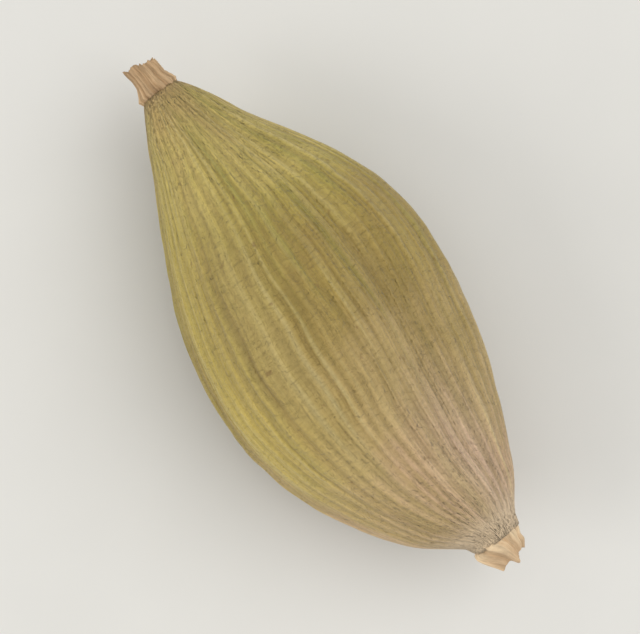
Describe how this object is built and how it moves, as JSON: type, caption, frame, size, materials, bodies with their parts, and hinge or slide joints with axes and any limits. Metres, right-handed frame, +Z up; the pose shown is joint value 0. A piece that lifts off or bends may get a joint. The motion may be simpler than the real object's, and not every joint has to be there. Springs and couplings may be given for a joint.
{
  "type": "green cardamom pod",
  "caption": "Dried green cardamom pod: a three-sided spindle husk with a short stalk stub at one end and a withered flower tip at the other, lying on one face.",
  "frame": {"origin": "on the surface that the pod lies on, under the middle of its bounding box", "axes": "+Z up, +X along the pod from its stalk end to its flower end"},
  "size_m": [0.0146, 0.0064, 0.0058],
  "materials": {
    "dried_husk": "matte",
    "dry_stalk": "matte",
    "withered_flower": "matte"
  },
  "bodies": {
    "root": {"husk": "dried_husk", "stalk_stub": "dry_stalk", "flower_remnant": "withered_flower"}
  },
  "joints": []
}
